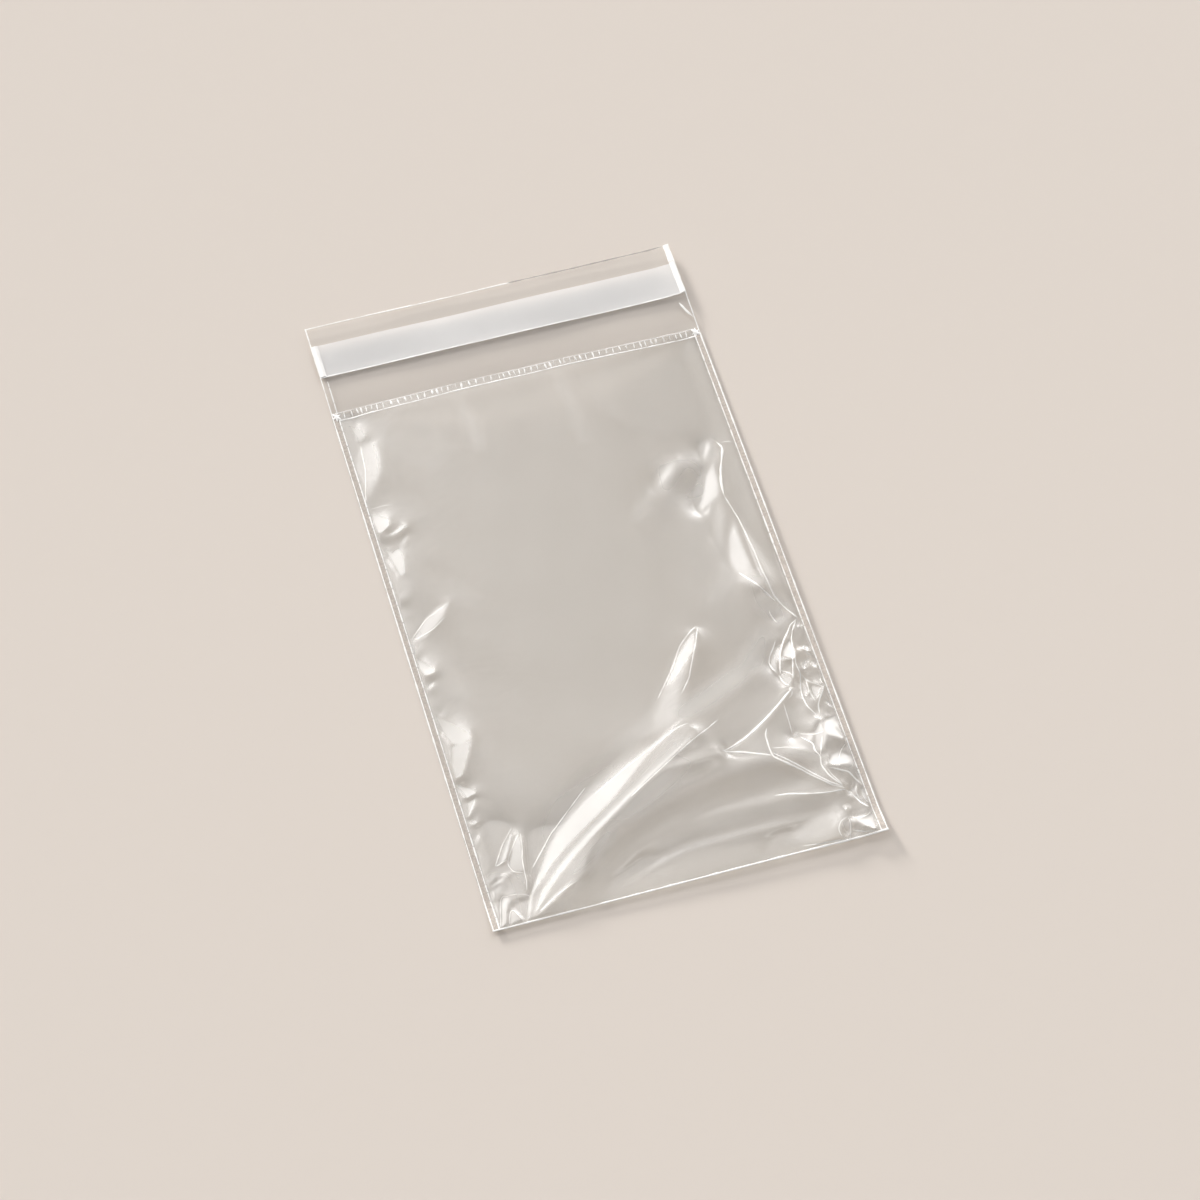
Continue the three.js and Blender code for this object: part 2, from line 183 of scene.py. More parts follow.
# Facets with soft edges
SOFT_FACETS = [
    (0.55, [(-64, -147), (-57, -131), (-50, -120), (-30, -102), (0, -86.5), (12, -82), (20, -86.5),
            (0, -99), (-30, -118.5), (-50, -134), (-62, -146.5)]),
    (0.6, [(74.8, 101), (72, 97), (69, 91.5), (72, 94.5), (75.5, 99.5)]),
    (0.55, [(-60, -142.5), (-50, -134.5), (-40, -126), (-28, -119), (-36, -127), (-42, -135.5),
            (-50, -138.5)]),
    (0.8, [(-72.6, 87.5), (-68, 88), (-66, 84), (-68, 70), (-75.8, 59), (-73, 75)]),
    (0.5, [(-72.5, 18), (-70.3, 18.2), (-71, 12), (-74.5, 7)]),
    (0.6, [(33.6, -41), (25, -47.5), (15, -60.8), (7.5, -71), (4.5, -78.5), (9, -80.5), (14.5, -78.5),
           (21.5, -65.5), (29, -53), (33.4, -43.5)]),
    (0.62, [(-59, -129), (-50, -118.5), (-40, -108.8), (-28, -98), (-12, -89), (0, -84), (8, -80),
            (0, -86.5), (-12, -92.6), (-30, -102.8), (-40, -110.2), (-50, -120)]),
    (1, [(65.5, 49), (67.6, 48), (67.5, 45.5), (63.8, 40.4), (62.4, 42.3), (63.6, 46.4)]),
    (1, [(66, 39.5), (63, 36), (60, 32.6), (58, 28), (54, 20.4), (53.6, 17), (58.4, 18.6), (64, 20.4),
         (65.4, 30)]),
    (0.6, [(65.5, 37.5), (69.5, 36.5), (70.5, 41.5), (69, 44), (66, 41.5)]),
    (0.7, [(61.5, 20), (64, 19), (63, 12), (57, -4), (56.5, 3), (57.5, 10), (60, 17)]),
    (1, [(65.6, 7), (61, 2.4), (58.6, -6), (57.8, -10), (58, -15), (59.6, -19.3), (63.5, -24.5),
         (66.5, -28), (65.4, -21), (65, -15), (65, -1)]),
    (1, [(51, 44), (42.6, 37.6), (39, 31.6), (42.8, 33.2), (46.6, 36), (49, 39)]),
    (0.78, CORNER_PATCH),
    (0.95, [(-30, -146), (-12, -139), (4, -135.6), (30, -135), (59, -135), (40, -132.2), (22, -131.6),
            (4, -132), (-12, -135.2)]),
    (0.95, [(8, -121.8), (20, -119.8), (44, -120.8), (44, -123), (20, -122)]),
    (0.9, [(2, -97.8), (14, -95.2), (30, -96.5), (14, -97.6)]),
]

# Film that slopes the other way and shows the dark side of the room
HOLLOWS = [
    (1, [(-34, -131), (-20, -121), (0, -113), (20, -108), (40, -106.5), (58, -108.5), (62, -112.5),
         (56, -117), (40, -118), (20, -117), (0, -119.5), (-16, -126), (-26, -133)]),
]

# Pale patches of painted sheen on the front film: how much milky white is mixed in, outline
PAINTED_SHEEN_PATCHES = [
    (0.55, [(64, 34), (58, 27), (52, 15), (53, 11.5), (58, 17), (64, 23)]),
    (0.6, [(-74.5, 99), (-69, 93), (-66, 84), (-66, 77), (-69, 68), (-74.5, 60), (-71, 72), (-70, 84)]),
    (0.4, [(58, -84), (66, -86), (69, -104), (66, -120), (58, -112), (52, -104), (50, -98)]),
    (0.5, CORNER_PATCH),
    (1, [(-63, -147), (-50, -128.5), (-30, -113.5), (-8, -100), (14, -86), (18, -86.6), (0, -98),
         (-30, -117.5), (-50, -133), (-60, -145)]),
    (0.85, [(-61, -146.5), (-48, -135), (-34, -124), (-18, -113), (-23, -121), (-35, -132), (-48, -140)]),
    (0.7, [(-60, -134), (-50, -120), (-36, -106.5), (-20, -96), (-4, -87.5), (-12, -86), (-30, -95),
           (-46, -109), (-57, -124)]),
    (0.9, [(14, -74), (30, -66), (46, -58), (60, -48), (62, -56), (48, -68), (30, -76), (16, -80)]),
    (0.9, [(42, 44), (58, 44), (62, 36), (56, 24), (46, 22), (40, 32)]),
    (0.7, [(62, 52), (69, 50), (69, 40), (62, 36)]),
    (0.8, [(61, -20), (70, -22), (74, -44), (66, -48), (60, -34)]),
    (0.55, [(-54, -114), (-42, -98), (-24, -88), (-30, -99), (-44, -110)]),
    (0.7, [(-24, -112), (-6, -101), (10, -94), (24, -90), (20, -98), (0, -109), (-16, -117)]),
    (0.8, [(62, -140), (76.5, -136), (76.5, -149), (62, -149)]),
    (0.6, [(-76.5, -124), (-66, -122), (-58, -136), (-46, -148), (-76.5, -149)]),
    (0.8, [(70, -94), (76.5, -92), (76.5, -120), (70, -118), (67, -106)]),
    (0.35, [(-66, 92), (-62, 97), (-54, 101), (-60, 90), (-64, 78)]),
    (0.38, [(58, -2), (55, -12), (40, -31), (50, -26), (58, -19)]),
    (0.38, [(60, 20), (57, 8), (54, -6), (58, -4), (62, 14)]),
    (0.28, [(56, 40), (46, 30), (34, 18), (42, 22), (52, 27), (58, 33)]),
    (0.42, [(43, 37), (35, 32), (28, 25), (26, 17), (30, 18), (36, 24), (41, 31)]),
    (0.75, [(62, -43), (47, -56), (43, -64), (57, -66), (64, -51)]),
    (0.3, [(-72, -28), (-62, -34), (-58, -46), (-66, -44), (-70, -38)]),
    (0.45, [(-40, -100), (-13, -81), (3, -73), (10, -66), (4, -80), (-12, -90)]),
    (0.45, [(-27, 101), (-25.8, 101), (-22.5, 84), (-23, 70), (-27.5, 70), (-27.5, 86)]),
    (0.3, [(14, 100), (18, 100), (21, 80), (20, 62), (16, 62)]),
    (0.3, [(50, 98), (54, 98), (62, 74), (64, 58), (58, 66)]),
    (0.3, [(5, -100), (16, -93), (40, -88), (42, -92), (28, -97)]),
    (0.25, [(-10, -128), (10, -122), (40, -122), (62, -126), (60, -131), (20, -129), (-8, -134)]),
    (0.3, [(-76, 20), (-68, 18), (-70, 8), (-75, 4)]),
    (0.25, [(-66, -70), (-56, -62), (-60, -74), (-66, -82)]),
    (0.16, [(-60, 88), (-44, 92), (-34, 74), (-46, 64), (-58, 72)]),
    (0.2, [(-64, 16), (-50, 12), (-42, -4), (-52, -2), (-62, 6)]),
    (0.2, [(-66, 58), (-56, 56), (-54, 44), (-62, 44)]),
    (0.4, [(33, -42), (25, -47.5), (15, -60.8), (7.5, -71), (4.5, -78.5), (9, -80.5), (14.5, -78.5),
           (21.5, -65.5), (29, -53)]),
    (0.16, [(24, 96), (50, 98), (68, 92), (70, 66), (60, 54), (42, 60), (28, 76)]),
]

# Crease lines, white beads that are painted highlights along the creases: width, run
CREASE_GLINTS = [
    (0.7, [(-72, 86), (-73, 74), (-77, 58)]),
    (0.4, [(-76, 54), (-70, 54.4), (-66, 53.6)]),
    (0.6, [(-76.2, -12), (-68, -4.2), (-57.4, 1)]),
    (0.6, [(-75, -12.4), (-66, -9.4), (-60, -5)]),
    (0.8, [(0, -88), (10, -83), (16, -80.4), (19.5, -80)]),
    (0.6, [(-25, -101), (-10, -92.8), (0, -88)]),
    (0.9, [(-12, -106), (0, -98.8), (10, -92.8), (20, -87.2), (31, -81.8)]),
    (0.8, [(-57.5, -126.3), (-53, -121.2), (-47, -114.1), (-38, -106.1), (-28, -97.3)]),
    (0.8, [(-42, -136.3), (-47, -138.2), (-52, -140.6), (-60, -145.6)]),
    (1.5, [(70, 46.8), (71.5, 43.5), (70.3, 40), (67.5, 33), (65.8, 27), (65, 20.5)]),
    (1.1, [(65, 20), (66, 15), (67.3, 8), (68, 0), (68.7, -10), (69, -20), (70, -32), (73, -40),
           (75.9, -45)]),
    (0.7, [(69.3, -26), (70, -33), (73.3, -40.4), (75.8, -44.6)]),
    (1.9, [(59.6, -17.6), (62.4, -21.6), (66, -27), (69.8, -34.8)]),
    (0.6, [(71.8, 46), (74, 46), (76.4, 45.2)]),
    (1.1, [(75.8, -45.3), (72, -47.5), (70, -50.5), (66.5, -55), (64, -59.5), (62, -66), (61.3, -68.5)]),
    (1.1, [(75, -46), (72, -50.3), (70.6, -53.5), (70, -57), (68.5, -62), (67, -67), (65.5, -72)]),
    (0.8, [(66, -38.5), (65.8, -40.5), (66.6, -43), (67.4, -45.2)]),
    (0.9, [(64.2, -52.8), (62.3, -56), (60, -59), (58.5, -62), (58.8, -65), (60.2, -67.5)]),
    (1, [(60.6, -68.8), (61, -72), (62.2, -74.4), (63.8, -74.8)]),
    (0.7, [(62, -67), (65, -69), (66, -71)]),
    (0.8, [(70, -58), (68.6, -66), (69, -71), (67, -77), (66.5, -82), (67, -86), (68.5, -89),
           (70, -91.5)]),
    (0.9, [(69.3, -71), (71, -75), (72.5, -76), (76.2, -79)]),
    (1, [(76.2, -79), (73.5, -83), (71.5, -86), (70.7, -90.5)]),
    (0.7, [(70.2, -73), (70, -80), (71, -85)]),
    (0.7, [(73.8, -58), (75, -58.6), (75.8, -59.8), (74, -61), (75, -63.3), (76.2, -63.5)]),
    (1.5, [(63.5, -76.5), (58, -80.5), (50, -86.3), (44.5, -89.8), (38, -93.4), (28.5, -96)]),
    (0.6, [(63.6, -76.3), (63, -79), (61, -80.2)]),
    (0.7, [(58.3, -82), (57.8, -92), (57.5, -96)]),
    (1.2, [(48.5, -91), (47, -94), (46.7, -100), (46.9, -104), (50, -107.2), (56, -113.2),
           (60, -117.6), (65, -122.8), (70, -126)]),
    (0.9, [(47.4, -102.6), (51, -106), (57, -112.6), (61, -117.2), (65, -121.6), (69, -124.6)]),
    (1.2, [(29, -96.2), (36, -98.8), (41, -101), (46.5, -103.4)]),
    (1.2, [(42, -121.4), (48, -122.2), (55, -124.2), (61, -125.5), (66, -126), (70, -126.8)]),
    (0.6, [(48, -100.4), (53, -101.4), (58, -103.2)]),
    (0.8, [(60, -98.5), (64, -103), (63.5, -106), (65, -109), (64, -113), (65.3, -118), (67, -121),
           (69.3, -124.4)]),
    (0.6, [(60, -97), (65.5, -99), (69.6, -98.6)]),
    (0.7, [(65, -109), (67, -104), (68.4, -100.6)]),
    (0.7, [(66, -115.5), (66.5, -118), (68, -121), (69.3, -124)]),
    (1, [(66.8, -115), (70, -117), (73.5, -119), (75, -123), (76.7, -126.3)]),
    (0.7, [(76.5, -106.5), (73.5, -109), (71.5, -112.5)]),
    (1, [(70, -126.5), (72, -130), (74, -134.2), (76.3, -137)]),
    (0.7, [(74.2, -126), (73.3, -129), (74, -132.5)]),
    (0.9, [(67.2, -138.3), (70, -139.8), (74, -140.3), (76.2, -138.8)]),
    (0.9, [(67, -144.8), (70.5, -146.5), (75.8, -149)]),
    (0.9, [(46, -146.2), (52, -147), (63.5, -149.1)]),
    (0.6, [(66.6, -138.4), (63.5, -139.5), (61.6, -142.5), (61.7, -146), (63.4, -148.6)]),
    (0.6, [(66.8, -138.6), (67, -141), (66, -145), (64.6, -148)]),
    (0.8, [(35.6, -37.4), (31, -40.4), (26.5, -44.6), (20, -54.6), (11, -66)]),
    (0.8, [(35.8, -38.4), (33, -45), (29, -53), (25.7, -60), (20.5, -66.5)]),
    (0.6, [(-71, -90.5), (-75.5, -97.6)]),
    (0.5, [(-69.8, -135.5), (-66, -136), (-63, -137), (-61.5, -138.5)]),
    (0.6, [(-58, -110), (-58.7, -116), (-60.3, -121), (-61, -127), (-61.3, -131), (-62.4, -135.6)]),
    (0.6, [(-58.5, -109.8), (-61, -113), (-64.5, -118), (-66.5, -122), (-65.3, -126), (-61.5, -127.3)]),
    (0.6, [(-60.6, -106.8), (-66, -113), (-71.5, -122), (-66.4, -120.2)]),
    (0.6, [(-76.5, -149), (-75, -143), (-73.5, -137), (-72, -135), (-70, -136)]),
    (0.6, [(-73, -148), (-71, -142.3), (-69.6, -142), (-67, -149)]),
]


def ramp(distance, reach):
    """Rises evenly from 0 to 1 over this reach."""
    return np.clip(distance / reach, 0, 1)


def ease(distance, reach):
    """Rises from 0 to 1 over this reach, steep at first and level at the end."""
    return np.sin(0.5 * np.pi * ramp(distance, reach))


def bump(t):
    """1 at t = 0, falling smoothly to 0 at t = 1 and beyond."""
    return 0.5 + 0.5 * np.cos(np.pi * np.clip(np.abs(t), 0, 1))


# Shortest and longest of a set of waves, as shares of its length
WAVE_SPREAD = (0.6, 1.6)


def waves(x, y, seed, length, count=9):
    """Smooth irregular waves of about one unit, of roughly this length."""
    rng = np.random.RandomState(seed)
    total = np.zeros(np.broadcast(x, y).shape)
    for _ in range(count):
        turn = rng.uniform(0, 2 * np.pi)
        reach = length * rng.uniform(*WAVE_SPREAD)
        phase = rng.uniform(0, 2 * np.pi)
        total = total + np.sin(2 * np.pi * (x * np.cos(turn) + y * np.sin(turn)) / reach + phase)
    return total / math.sqrt(count)


def slack(x, y):
    """Smooth height of the filled-out front film."""
    to_mouth = 1 - bump(ramp(y - MOUTH_Y + MOUTH_RAMP, MOUTH_RAMP))
    crown = POCKET_RISE + (MOUTH_RISE - POCKET_RISE) * to_mouth
    return crown * ease(HALF_POCKET - np.abs(x), SIDE_RAMP) * ease(y - POCKET_Y, END_RAMP)


def floor_gap(x, y):
    """The right edge and the bottom edge lift a little off the floor."""
    right = RIGHT_LIFT + RIGHT_LIFT_MORE * bump((y - RIGHT_LIFT_Y) / RIGHT_LIFT_REACH)
    along_bottom = bump((x - BOTTOM_LIFT_X) / BOTTOM_LIFT_REACH)
    bottom = BOTTOM_LIFT * (BOTTOM_LIFT_SHARE + (1 - BOTTOM_LIFT_SHARE) * along_bottom)
    right = right * bump((HALF_WIDTH - x) / RIGHT_LIFT_WIDTH)
    return right + bottom * bump((y - BOTTOM_Y) / BOTTOM_LIFT_WIDTH)


# Grid on which the folds and facets are worked out, in millimetres
FIELD_STEP = 0.4
field_x = np.arange(-HALF_POCKET, HALF_POCKET + 0.5 * FIELD_STEP, FIELD_STEP)
field_y = np.arange(POCKET_Y, MOUTH_Y + FIELD_STEP, FIELD_STEP)
grid_x, grid_y = np.meshgrid(field_x, field_y)
grid_near = np.minimum(HALF_POCKET - np.abs(grid_x), grid_y - POCKET_Y)
slack_y, slack_x = np.gradient(slack(grid_x, grid_y) + floor_gap(grid_x, grid_y), FIELD_STEP)

# Facets: about how high they stand, how far they stay from the welds and the fold, and how they are fitted
FACET_RISE = 0.4
FACET_MARGIN = 0.1
FACET_REACH = 9.0
FACET_ROUNDS = 40
FACET_PUSH = 1.7
FACET_FLOOR, FACET_FLOOR_RAMP = 0.1, 4.0

# Width over which facets and pleats fade out at the welds and the fold
FOLD_FADE = 1.2

# Blurs in grid cells: of each kind of patch, of the fitted facets and of the pleats
CRISP_BLUR = 0.8
SOFT_BLUR = 2.2
HOLLOW_BLUR = 4
PAINTED_SHEEN_BLUR = 5
FACET_BLUR = 0.7
PLEAT_BLUR = 1.0
BLUR_REACH = 3

# Pleats of the crumpled film: how far and how often they bend, and the spread of their slopes
PLEAT_BEND, PLEAT_BEND_LENGTH, PLEAT_BEND_WAVES = 1.2, 16.0, 6
PLEAT_SPREAD = (0.6, 1.3)

# Crumpled strip beside the right weld, whose inner edge sways
RIGHT_STRIP_X, RIGHT_STRIP_SWAY, RIGHT_STRIP_TURN = 68.5, 1.5, 7.0
RIGHT_STRIP_TOP, RIGHT_STRIP_FADE = -44.0, 8.0
RIGHT_STRIP_LOW, RIGHT_STRIP_LOW_FADE = -152.0, 6.0

# Crumpled strip beside the left weld, full near the bottom corner and this share of it above
LEFT_STRIP_X, LEFT_STRIP_WIDTH = -74.0, 5.0
LEFT_STRIP_TOP, LEFT_STRIP_FULL, LEFT_STRIP_FADE = 60.0, -95.0, 20.0
LEFT_STRIP_SHARE = 0.35

# Painted sheen, mixed in as milky white: on soft facets, over the lower part, and along the right and the
# left side
SOFT_PAINTED_SHEEN = 0.6
LOW_PAINTED_SHEEN, LOW_PAINTED_SHEEN_Y, LOW_PAINTED_SHEEN_REACH = 0.55, -105.0, 50.0
RIGHT_PAINTED_SHEEN, RIGHT_PAINTED_SHEEN_X, RIGHT_PAINTED_SHEEN_WIDTH, RIGHT_PAINTED_SHEEN_REACH = 0.4, 52.0, 30.0, 85.0
LEFT_PAINTED_SHEEN, LEFT_PAINTED_SHEEN_WIDTH = 0.6, 20.0


def on_film(seen, height):
    """Places on film of this height that the camera sees at these points of the floor."""
    seen = np.array(seen, float)
    place = seen
    for _ in range(SIGHT_ROUNDS):
        place = seen - height(*place.T)[:, None] * SIGHT
    limit = HALF_POCKET - FACET_MARGIN
    x = np.clip(place[:, 0], -limit, limit)
    y = np.maximum(place[:, 1], POCKET_Y + FACET_MARGIN)
    return np.stack([x, y], -1)


def facet_height(x, y):
    """About how high a facet stands, to place it where the camera sees it."""
    return slack(x, y) + floor_gap(x, y) + FACET_RISE


def within(corners):
    """Grid points inside an outline."""
    hit = np.zeros(grid_x.shape, bool)
    for (ax, ay), (bx, by) in zip(corners, np.roll(corners, -1, 0)):
        if ay != by:
            crossing = (bx - ax) * (grid_y - ay) / (by - ay) + ax
            hit ^= ((ay > grid_y) != (by > grid_y)) & (grid_x < crossing)
    return hit


def blurred(grid, spread):
    """Gaussian blur, spread in grid cells."""
    reach = int(math.ceil(BLUR_REACH * spread))
    kernel = np.exp(-0.5 * (np.arange(-reach, reach + 1) / spread) ** 2)
    kernel /= kernel.sum()
    for axis in (0, 1):
        padded = np.pad(grid, [(reach, reach) if a == axis else (0, 0) for a in (0, 1)], mode="edge")
        grid = np.apply_along_axis(lambda line: np.convolve(line, kernel, mode="valid"), axis, padded)
    return grid


def painted(patches, spread):
    """Where patches lie on the grid, and their shares, a later patch over an earlier one."""
    share = np.zeros_like(grid_x)
    for amount, outline in patches:
        share[within(on_film(outline, facet_height))] = amount
    return blurred((share != 0).astype(float), spread), blurred(share, spread)


def leaning(patches, lean):
    """Where painted patches lie, and how much more their slope is than the slack film's."""
    where, share = patches
    return where, share * (lean[0] - slack_x), share * (lean[1] - slack_y)


def fitted(slope_x, slope_y):
    """Surface whose slopes come nearest to these, at zero along every edge."""
    bend = np.gradient(slope_x, FIELD_STEP, axis=1) + np.gradient(slope_y, FIELD_STEP, axis=0)
    bend = np.concatenate([bend, -bend[:, ::-1]], 1)
    bend = np.concatenate([bend, -bend[::-1]], 0)
    wave_x = 2 * np.pi * np.fft.rfftfreq(bend.shape[1], FIELD_STEP)
    wave_y = 2 * np.pi * np.fft.fftfreq(bend.shape[0], FIELD_STEP)[:, None]
    spectrum = np.fft.rfft2(bend) / -(wave_x ** 2 + wave_y ** 2 + FACET_REACH ** -2)
    return np.fft.irfft2(spectrum, bend.shape)[:grid_x.shape[0], :grid_x.shape[1]]


def facet_field(*layers):
    """Height that makes every patch lean as asked and the film between them bend as little as it can."""
    where, slope_x, slope_y = layers[0]
    for over, over_x, over_y in layers[1:]:
        slope_x = slope_x * (1 - over) + over_x
        slope_y = slope_y * (1 - over) + over_y
        where = np.maximum(where, over)
    least = FACET_FLOOR * ramp(grid_near, FACET_FLOOR_RAMP) - slack(grid_x, grid_y)
    push_x, push_y = slope_x, slope_y
    for _ in range(FACET_ROUNDS):
        rise = np.maximum(fitted(push_x, push_y), least)
        rise_y, rise_x = np.gradient(rise, FIELD_STEP)
        push_x = push_x + FACET_PUSH * where * (slope_x - rise_x)
        push_y = push_y + FACET_PUSH * where * (slope_y - rise_y)
    return blurred(rise, FACET_BLUR)


def crumple(seed, count, slope, short, long):
    """Sharp-edged pleats that cross at random and leave many-sided facets."""
    rng = np.random.RandomState(seed)
    total = np.zeros_like(grid_x)
    bend_x = waves(grid_x, grid_y, seed + 50, PLEAT_BEND_LENGTH, PLEAT_BEND_WAVES)
    bend_y = waves(grid_x, grid_y, seed + 51, PLEAT_BEND_LENGTH, PLEAT_BEND_WAVES)
    bent_x = grid_x + PLEAT_BEND * bend_x
    bent_y = grid_y + PLEAT_BEND * bend_y
    for _ in range(count):
        turn = rng.uniform(0, np.pi)
        pitch = rng.uniform(short, long)
        phase = rng.uniform(0, 1)
        along = (bent_x * math.cos(turn) + bent_y * math.sin(turn)) / pitch + phase
        total = total + slope * rng.uniform(*PLEAT_SPREAD) * pitch * np.abs(along - np.round(along))
    return total


def right_strip():
    """Share of the pleats in the strip beside the right weld."""
    edge = RIGHT_STRIP_X + RIGHT_STRIP_SWAY * np.sin(grid_y / RIGHT_STRIP_TURN)
    across = bump(ramp(edge - grid_x, RIGHT_STRIP_FADE))
    below = ramp(RIGHT_STRIP_TOP - grid_y, RIGHT_STRIP_FADE)
    return across * below * ramp(grid_y - RIGHT_STRIP_LOW, RIGHT_STRIP_LOW_FADE)


def left_strip():
    """Share of the pleats in the strip beside the left weld."""
    across = bump(ramp(grid_x - LEFT_STRIP_X, LEFT_STRIP_WIDTH))
    below = ramp(LEFT_STRIP_TOP - grid_y, LEFT_STRIP_FADE)
    full = ramp(LEFT_STRIP_FULL - grid_y, LEFT_STRIP_FADE)
    return across * below * (LEFT_STRIP_SHARE + (1 - LEFT_STRIP_SHARE) * full)


# Relief of the front film: pleats between the placed facets, and the surface fitted to those
soft = painted(SOFT_FACETS, SOFT_BLUR)
crisp = painted(FACETS, CRISP_BLUR)
side = painted(SIDE_FACETS, CRISP_BLUR)
hollow = painted(HOLLOWS, HOLLOW_BLUR)
between = 1 - np.maximum(crisp[0], side[0])
crumpled = (crumple(seed=3, count=4, slope=0.06, short=4, long=10)
            + crumple(seed=9, count=4, slope=0.04, short=2.2, long=4))
field = blurred((right_strip() + left_strip()) * between * crumpled, PLEAT_BLUR)
field = field + facet_field(leaning(hollow, HOLLOW_LEAN), leaning(soft, LEAN), leaning(crisp, LEAN),
                            leaning(side, SIDE_LEAN))

# Painted highlights and sheen over the front film, mixed in as milky white: on the facets and the pale
# patches, and faintly over wide parts
painted_pale = painted(PAINTED_SHEEN_PATCHES, PAINTED_SHEEN_BLUR)
patch_painted_sheen = np.maximum.reduce([painted_pale[1], (SOFT_PAINTED_SHEEN * soft[1]) ** 2, crisp[1] ** 2, side[1]])
low_painted_sheen = LOW_PAINTED_SHEEN * bump((grid_y - LOW_PAINTED_SHEEN_Y) / LOW_PAINTED_SHEEN_REACH) * (1 - hollow[1])
right_painted_sheen = RIGHT_PAINTED_SHEEN * bump((grid_x - RIGHT_PAINTED_SHEEN_X) / RIGHT_PAINTED_SHEEN_WIDTH) * bump(grid_y / RIGHT_PAINTED_SHEEN_REACH)
left_painted_sheen = LEFT_PAINTED_SHEEN * bump((grid_x + HALF_POCKET) / LEFT_PAINTED_SHEEN_WIDTH)
painted_sheen = patch_painted_sheen + (1 - patch_painted_sheen) * np.maximum.reduce([low_painted_sheen, right_painted_sheen, left_painted_sheen])

# Steps back from a grid's length to just inside its last cell
LAST_CELL = 1.001


def sampled(grid, x, y):
    """A grid's values between its points."""
    u = np.clip((x - field_x[0]) / FIELD_STEP, 0, len(field_x) - LAST_CELL)
    v = np.clip((y - field_y[0]) / FIELD_STEP, 0, len(field_y) - LAST_CELL)
    i, j = u.astype(int), v.astype(int)
    u, v = u - i, v - j
    low = grid[j, i] * (1 - u) + grid[j, i + 1] * u
    high = grid[j + 1, i] * (1 - u) + grid[j + 1, i + 1] * u
    return low * (1 - v) + high * v


def pocket_height(x, y):
    """Clear height under the front film."""
    near = np.minimum(HALF_POCKET - np.abs(x), y - POCKET_Y)
    rise = slack(x, y) + ramp(near, FOLD_FADE) * sampled(field, x, y)
    rise = rise + SWELL * waves(x, y, seed=3, length=SWELL_LENGTH) * ramp(near, SWELL_FADE)
    return np.where(near > 0, rise, 0)


def front_point(x, y):
    """Place on the front film, whose mouth edge draws back where it bulges."""
    near_mouth = ramp(y - MOUTH_Y + MOUTH_DIP_REACH, MOUTH_DIP_REACH) ** 2
    dip = MOUTH_DIP * ease(HALF_POCKET - np.abs(x), SIDE_RAMP) * near_mouth
    return np.stack([x, y - dip, floor_gap(x, y) + pocket_height(x, y) + FILM], -1)


def front_height(x, y):
    """Height of the front film."""
    return front_point(x, y)[..., 2]


def lip_point(x, y):
    """Place on the back film, whose lip stands a little off the floor and curls up at its right edge."""
    wave = LIP_WAVE * waves(x, y, seed=11, length=LIP_WAVE_LENGTH)
    lift = (LIP_LIFT + wave) * ease(y - MOUTH_Y, LIP_RAMP)
    curl = CURL_RISE * ramp(x - CURL_X, HALF_WIDTH - CURL_X) ** CURL_POWER * ramp(y - CURL_LOW, CURL_FADE)
    return np.stack([x, y, floor_gap(x, y) + np.clip(lift, 0, None) + curl], -1)


def spans(*runs):
    """Stations along an axis from (start, end, step) runs."""
    parts = [np.linspace(a, b, max(1, round((b - a) / step)), endpoint=False) for a, b, step in runs]
    return np.concatenate(parts + [[runs[-1][1]]])


def quads(wide, tall):
    """Corners of the cells of a grid of points."""
    a = (np.arange(tall - 1)[:, None] * wide + np.arange(wide - 1)).ravel()
    return np.stack([a, a + 1, a + wide + 1, a + wide], -1)


def sheet(points):
    """One layer of film through a grid of points."""
    tall, wide = points.shape[:2]
    return points.reshape(-1, 3), quads(wide, tall)


def slab(points, thickness):
    """A closed sheet of this thickness over a grid of points."""
    tall, wide = points.shape[:2]
    low = points.reshape(-1, 3)
    top = low.copy()
    top[:, 2] += np.broadcast_to(thickness, (tall, wide)).ravel()
    layer = wide * tall
    upper = quads(wide, tall)
    rim = np.concatenate([
        np.arange(wide - 1),
        np.arange(tall - 1) * wide + wide - 1,
        (tall - 1) * wide + np.arange(wide - 1, 0, -1),
        np.arange(tall - 1, 0, -1) * wide,
    ])
    ahead = np.roll(rim, -1)
    sides = np.stack([rim, rim + layer, ahead + layer, ahead], -1)
    return np.concatenate([top, low]), np.concatenate([upper, upper[:, ::-1] + layer, sides])


# Slim lines: fewest stations, rounds of smoothing, and how they taper, waver in width and arch
BEAD_STATIONS, BEAD_ROUNDS = 6, 2
BEAD_TAPER, BEAD_TIP = 2.5, 0.02
BEAD_WAVE_LENGTH = 6.0
BEAD_ACROSS = np.array([-1, -0.5, 0, 0.5, 1])
BEAD_ARCH, BEAD_LEAST, BEAD_MOST = 0.25, 0.01, 0.3
BEAD_ROUND = 1.02
SHARP_ANGLE = math.radians(50)


